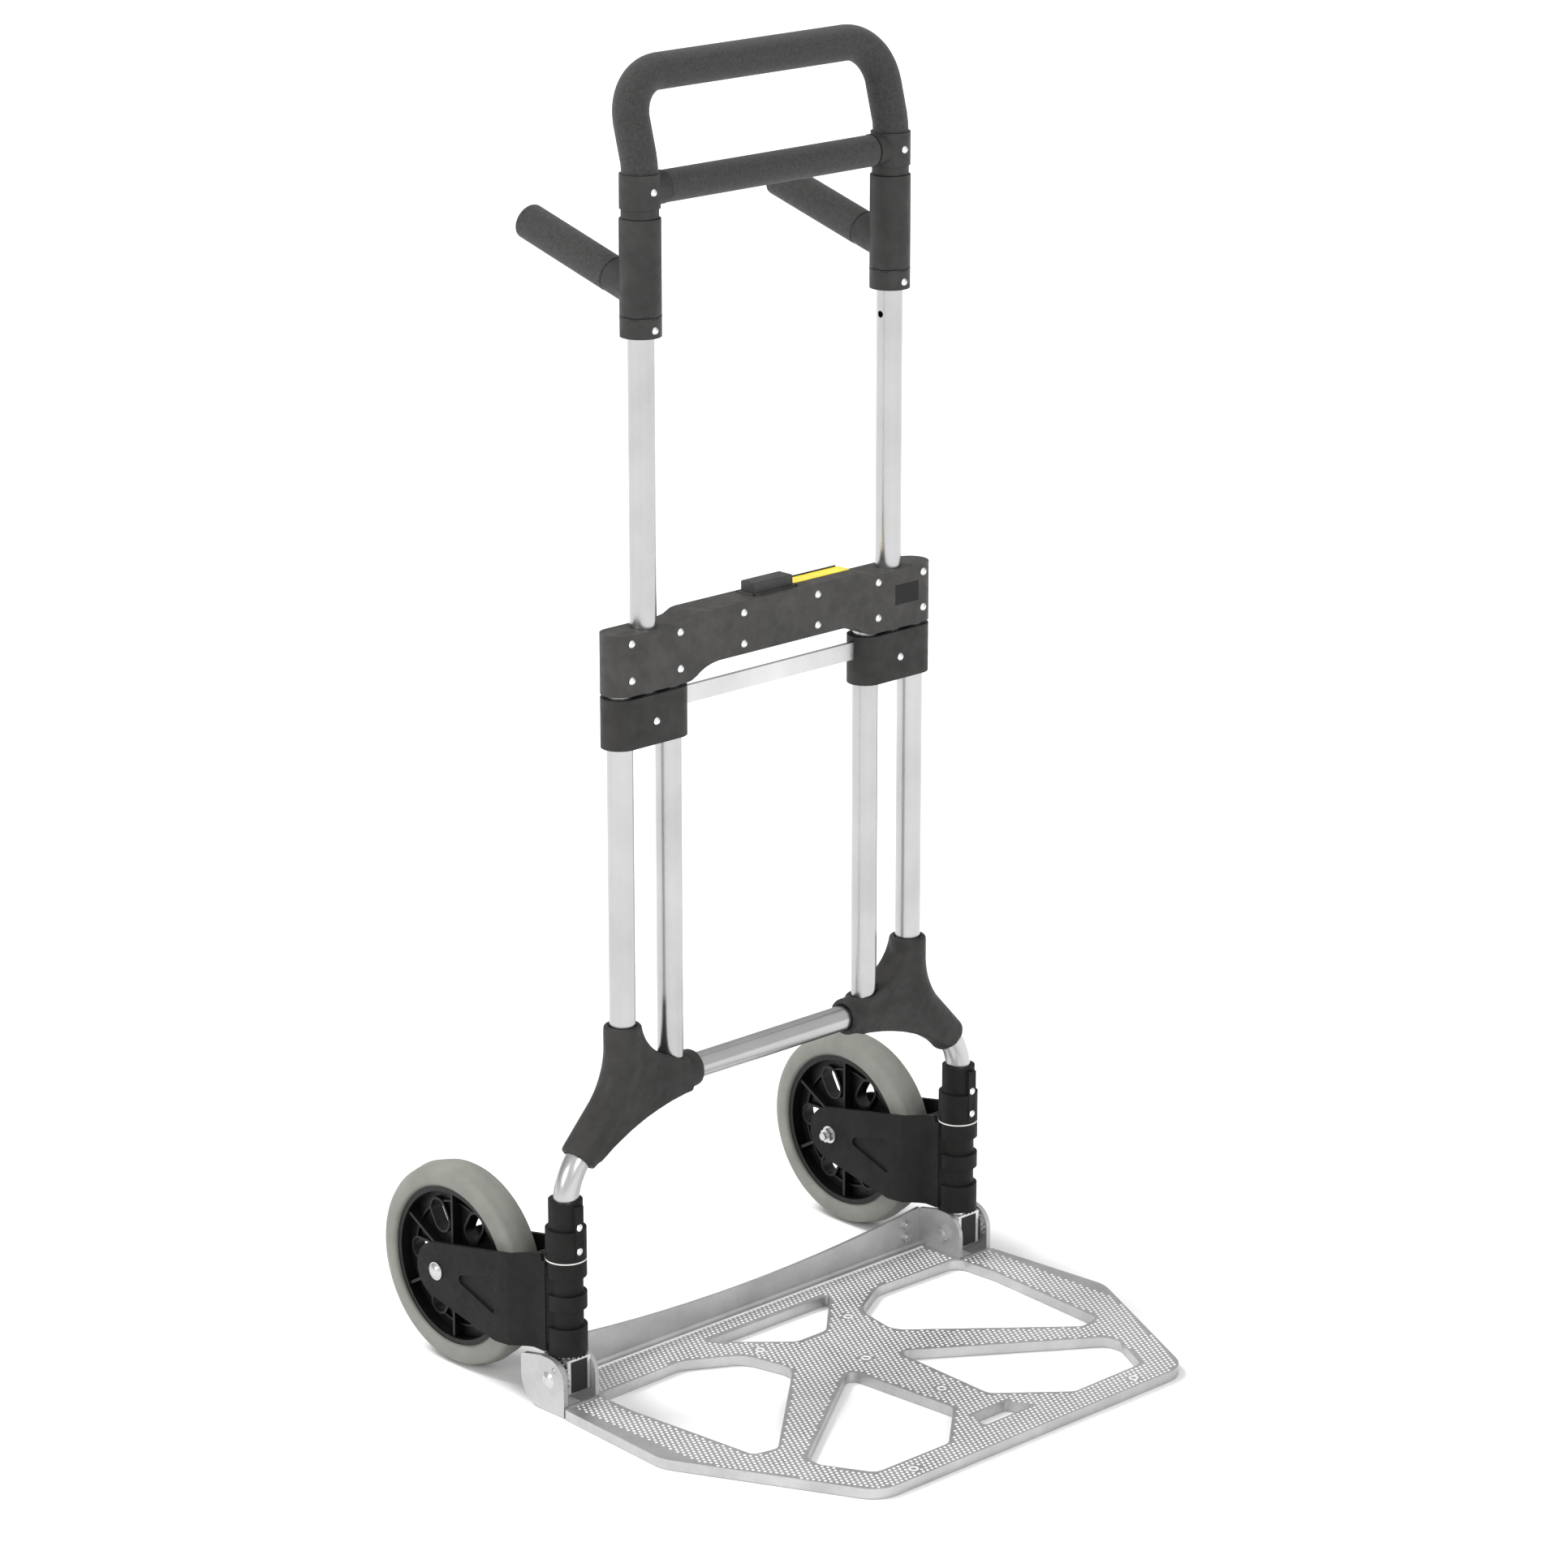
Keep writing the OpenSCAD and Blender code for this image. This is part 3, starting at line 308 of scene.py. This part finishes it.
def melt(node, voxel, rounds, share):
    """A finer piece in place of a CAD node, with its creases flowing into each other: built again from
    cubes of voxel mm, smoothed in rounds, and thinned to a share of its faces."""
    obj = to_object(node + "_soft", clean_copy(node))
    remesh = obj.modifiers.new("Remesh", "REMESH")
    remesh.mode = "VOXEL"
    remesh.voxel_size = voxel * MM
    smooth = obj.modifiers.new("Smooth", "SMOOTH")
    smooth.iterations = rounds
    smooth.factor = 0.5
    thin = obj.modifiers.new("Thin", "DECIMATE")
    thin.ratio = share
    graph = bpy.context.evaluated_depsgraph_get()
    made = bpy.data.meshes.new_from_object(obj.evaluated_get(graph))
    obj.modifiers.clear()
    obj.data = made
    made.shade_smooth()
    dress(obj, SLOT[node])
    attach(obj, BODY[node])
    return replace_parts(obj, node)


def boxes(name, corners, body, look, slot, edge):
    """One piece of several boxes, each given as its low and high corner, with edges rounded by edge mm."""
    shape = bmesh.new()
    for low, high in corners:
        low, high = Vector(low) * MM, Vector(high) * MM
        size = Matrix.Diagonal((*(high - low), 1))
        bmesh.ops.create_cube(shape, size=1.0, matrix=Matrix.Translation((low + high) / 2) @ size)
    bmesh.ops.bevel(shape, geom=shape.edges[:], offset=edge * MM, segments=2, profile=0.5, affect="EDGES",
                    clamp_overlap=True)
    return new_piece(name, shape, body, look, slot)


def ring(shape, x, y, radius, count, height):
    """Points in mm round a place. The height is given for each share of a turn."""
    points = []
    for k in range(count):
        angle = 2 * math.pi * k / count
        place = (x + radius * math.cos(angle), y + radius * math.sin(angle), height(k / count))
        points.append(shape.verts.new([value * MM for value in place]))
    return points


def bridge(shape, rings):
    """Faces between each ring of points and the next."""
    for low, high in zip(rings, rings[1:]):
        for k in range(len(low)):
            after = (k + 1) % len(low)
            shape.faces.new((low[k], low[after], high[after], high[k]))


# ---------------------------------------------------------------- handle, frame and housing

def on_clamp_outside(point):
    """On a clamp block's outline, away from the bores for the tubes."""
    return abs(point.y - AXIS_Y) > 12 or abs(abs(point.x) - TUBE_X) > 40


def on_housing_rim(point):
    """Along the top or the bottom of the housing's front or back face."""
    on_face = abs(point.y - AXIS_Y) > 17.5
    return on_face and (point.z > HOUSING_HIGH - 7.5 or point.z < HOUSING_LOW + 14.5)


def on_button_head(point):
    return point.z > BUTTON_HIGH[Z] - 8


def soften_upper_parts():
    for node in ("handle_foam", "crossbar_foam", "left_grip_foam", "right_grip_foam"):
        soften(node, rounding(2.0, 4, 50), crease=60)
    for side in SIDES:
        for part in ("handle_tee", "lower_collar", "grip_sleeve"):
            soften(f"{side}_{part}", rounding(0.7, 3, 40))
        soften(f"{side}_clamp_block", rounding(2.2, 4, 60, on_clamp_outside), rounding(0.5, 2, 60))
        melt(f"{side}_gusset", voxel=1.4, rounds=34, share=0.5)
    soften("release_button", rounding(1.6, 4, 60, on_button_head))
    for part in ("housing_front", "housing_back"):
        shell = soften(part, rounding(3.0, 5, 40, on_housing_rim))
        dress(shell, "housing_plastic", SLOT[part])


def button_seat():
    """Raised frame on the housing round the release button."""
    gap, side_wall, end_wall, sunk, proud = 0.6, 3.4, 2.4, 1, 1.4
    left, front = BUTTON_LOW[X] - gap, BUTTON_LOW[Y] - gap
    right, back = BUTTON_HIGH[X] + gap, BUTTON_HIGH[Y] + gap
    low, high = HOUSING_HIGH - sunk, HOUSING_HIGH + proud
    walls = [((left - side_wall, front - end_wall, low), (left, back + end_wall, high)),
             ((right, front - end_wall, low), (right + side_wall, back + end_wall, high)),
             ((left - side_wall, front - end_wall, low), (right + side_wall, front, high)),
             ((left - side_wall, back, low), (right + side_wall, back + end_wall, high))]
    boxes("button_seat", walls, BODY["housing_front"], "housing_plastic", "frame_plastic", edge=0.4)


def label_lip():
    """Low lip on the housing behind the sticker."""
    gap, thickness, sunk, proud = 0.5, 1.6, 1, 1.8
    front = LABEL_HIGH[Y] + gap
    low = (LABEL_LOW[X], front, HOUSING_HIGH - sunk)
    high = (LABEL_HIGH[X] - 2, front + thickness, HOUSING_HIGH + proud)
    boxes("label_lip", [(low, high)], BODY["housing_front"], "housing_plastic", "frame_plastic", edge=0.4)


def detent_line(name, x):
    """Stepped joint line between a lower collar and the swivelling sleeve over it."""
    radius = (SLEEVE_HIGH[X] - SLEEVE_LOW[X]) / 2
    joint = SLEEVE_LOW[Z] - 0.2
    teeth, tooth, slope, half = 6, 1.4, 10, 0.42

    def height(turn):
        return joint + tooth * max(-1, min(1, slope * (abs(turn * teeth % 1 - 0.5) - 0.25)))

    shape = bmesh.new()
    inner, outer = radius + 0.02, radius + 0.12
    rings = [ring(shape, x, AXIS_Y, r, 240, lambda turn: height(turn) + up)
             for r, up in ((inner, -half), (outer, -half), (outer, half), (inner, half))]
    bridge(shape, rings + rings[:1])
    new_piece(name, shape, BODY["left_lower_collar"], "plug_plastic", "handle_plastic")


# ---------------------------------------------------------------- toe plate

# Places of the round marks that the mould's pins leave on the plate
PLATE_MARKS = [(0, -80), (0, -182), (-150, -292), (150, -292), (-60, 5), (60, 5)]
CLEAR_OF_MARK = 7.5
DOT_PITCH = 5.6
DOT_RADIUS = 1.65
DOT_HEIGHT = 0.5
DOT_MARGIN = 3.4       # from a dot's middle to the edge of the flat top, at least


def add_dot(shape, x, y):
    profile = ((1.0, -0.1), (0.8, 0.55), (0.42, 0.92))
    rings = [ring(shape, x, y, DOT_RADIUS * out, 8, lambda turn: PLATE_TOP + DOT_HEIGHT * up)
             for out, up in profile]
    bridge(shape, rings)
    last = rings[-1]
    top = shape.verts.new((x * MM, y * MM, (PLATE_TOP + DOT_HEIGHT) * MM))
    for k in range(len(last)):
        shape.faces.new((last[k], last[(k + 1) % len(last)], top))


def add_mark(shape, x, y):
    for radius, proud in ((5.0, 0.35), (3.6, 0.15)):
        profile = ((1.0, -0.1), (0.93, proud), (0.8, proud), (0.74, -0.1))
        rings = [ring(shape, x, y, radius * out, 32, lambda turn: PLATE_TOP + up) for out, up in profile]
        bridge(shape, rings)


def plate_dots():
    """Rows of dots cast over the plate's flat top, with the mould's marks bare among them."""
    plate = clean_copy("toe_plate")
    tree = BVHTree.FromBMesh(plate)
    plate.free()
    around = [(math.cos(k * math.pi / 4), math.sin(k * math.pi / 4)) for k in range(8)]
    above = 80

    def on_top(x, y):
        hit = tree.ray_cast(Vector((x * MM, y * MM, above * MM)), Vector((0, 0, -1)))[0]
        return hit is not None and abs(hit.z / MM - PLATE_TOP) < 0.2

    def fits(x, y):
        return (on_top(x, y) and all(on_top(x + DOT_MARGIN * c, y + DOT_MARGIN * s) for c, s in around)
                and all(math.hypot(x - u, y - v) >= CLEAR_OF_MARK for u, v in PLATE_MARKS))

    shape = bmesh.new()
    first_row, depth, half_row = -308, 400, 50
    row_pitch = DOT_PITCH * math.sqrt(3) / 2
    for j in range(int(depth / row_pitch)):
        y = first_row + j * row_pitch
        for i in range(-half_row, half_row + 1):
            x = (i + 0.5 * (j % 2)) * DOT_PITCH
            if fits(x, y):
                add_dot(shape, x, y)
    for place in PLATE_MARKS:
        add_mark(shape, *place)
    # The dots and the marks are real raised shapes; their near-white colour is a painted highlight.
    new_piece("plate_dots", shape, "toe_plate", "painted_highlight_metal", "cast_aluminium", crease=80)


def flange_line():
    """Thin raised line cast along the foot of the rear flange."""
    half, back = COLUMN_X - 21, PLATE_BACK - 10.2
    low, high = (-half, back - 1.6, PLATE_TOP - 0.5), (half, back, PLATE_TOP + 1.2)
    # The line is a real raised shape; its near-white colour is a painted highlight.
    boxes("flange_line", [(low, high)], "toe_plate", "painted_highlight_metal", "cast_aluminium", edge=0.5)


# ---------------------------------------------------------------- wheel brackets and wheels

POCKET_Y = (120, 188)
POCKET_Z = (78, 122)


def outside_pocket(point):
    """Not on the crisp edge of the pocket in a fork's outer face."""
    on_face = abs(abs(point.x) - COLUMN_X) > 30
    return not (on_face and POCKET_Y[0] < point.y < POCKET_Y[1] and POCKET_Z[0] < point.z < POCKET_Z[1])


def soften_wheel_parts():
    for side in SIDES:
        soften(f"{side}_wheel_bracket", rounding(0.8, 3, 40, outside_pocket))
        soften(f"{side}_column_collar", rounding(0.8, 3, 40))
        soften(f"{side}_foot_block", rounding(0.6, 2, 60))
        soften(f"{side}_rim", rounding(0.25, 2, 50))
        soften(f"{side}_tyre", crease=80)


soften_upper_parts()
soften("toe_plate", rounding(1.1, 3, 40))
plate_dots()
soften_wheel_parts()
button_seat()
label_lip()
flange_line()
detent_line("left_detent_line", -TUBE_X)
detent_line("right_detent_line", TUBE_X)


# ---------------------------------------------------------------- floor, light, camera

def pale_floor(half):
    corners = [(-half, -half, 0), (half, -half, 0), (half, half, 0), (-half, half, 0)]
    mesh = bpy.data.meshes.new("floor")
    mesh.from_pydata(corners, [], [(0, 1, 2, 3)])
    look = Look("pale_floor", Roughness=0.8)
    look.colours(look.noise(3), grey(0.80), grey(0.82))
    mesh.materials.append(look.material)
    floor = bpy.data.objects.new("floor", mesh)
    floor.location.z = -0.6 * MM
    bpy.context.scene.collection.objects.link(floor)


def room_light(brightest, dim, bright):
    """White light from all round, bright from one direction and dim from the other."""
    world = bpy.data.worlds.new("studio")
    bpy.context.scene.world = world
    world.use_nodes = True
    nodes, links = world.node_tree.nodes, world.node_tree.links
    background = nodes["Background"]
    background.inputs["Color"].default_value = (1, 1, 1, 1)
    towards = nodes.new("ShaderNodeVectorMath")
    towards.operation = "DOT_PRODUCT"
    towards.inputs[1].default_value = Vector(brightest).normalized()
    spread = nodes.new("ShaderNodeMapRange")
    for socket, value in (("From Min", -0.8), ("From Max", 0.9), ("To Min", dim), ("To Max", bright)):
        spread.inputs[socket].default_value = value
    links.new(nodes.new("ShaderNodeTexCoord").outputs["Generated"], towards.inputs[0])
    links.new(towards.outputs["Value"], spread.inputs["Value"])
    links.new(spread.outputs["Result"], background.inputs["Strength"])


def sun(name, towards_light, angle, strength, glints=True):
    """Soft sunlight of an angle in degrees. Without glints it isn't mirrored in glossy surfaces."""
    data = bpy.data.lights.new(name, "SUN")
    data.energy = strength
    data.angle = math.radians(angle)
    obj = bpy.data.objects.new(name, data)
    bpy.context.scene.collection.objects.link(obj)
    obj.rotation_euler = Vector(towards_light).to_track_quat("Z", "Y").to_euler()
    obj.visible_glossy = glints


def camera(place, aim, lens):
    data = bpy.data.cameras.new("camera")
    data.lens = lens
    data.sensor_width = 36
    data.clip_start = 0.05
    data.clip_end = 250
    obj = bpy.data.objects.new("camera", data)
    bpy.context.scene.collection.objects.link(obj)
    obj.location = place
    obj.rotation_euler = (Vector(aim) - obj.location).to_track_quat("-Z", "Y").to_euler()
    bpy.context.scene.camera = obj


pale_floor(half=150)
room_light(brightest=(-0.4, -0.7, 0.6), dim=0.45, bright=1.0)
sun("key", (-0.35, 0.7, 1.1), angle=20, strength=2.8, glints=False)
sun("front", (-0.3, -1.0, 0.6), angle=25, strength=0.9)
sun("side", (-1.0, 0.1, 0.4), angle=14, strength=0.8)
camera(place=(-3.287, -3.360, 2.001), aim=(-0.027, 0.006, 0.576), lens=119.4)
bpy.context.scene.view_settings.view_transform = "Standard"
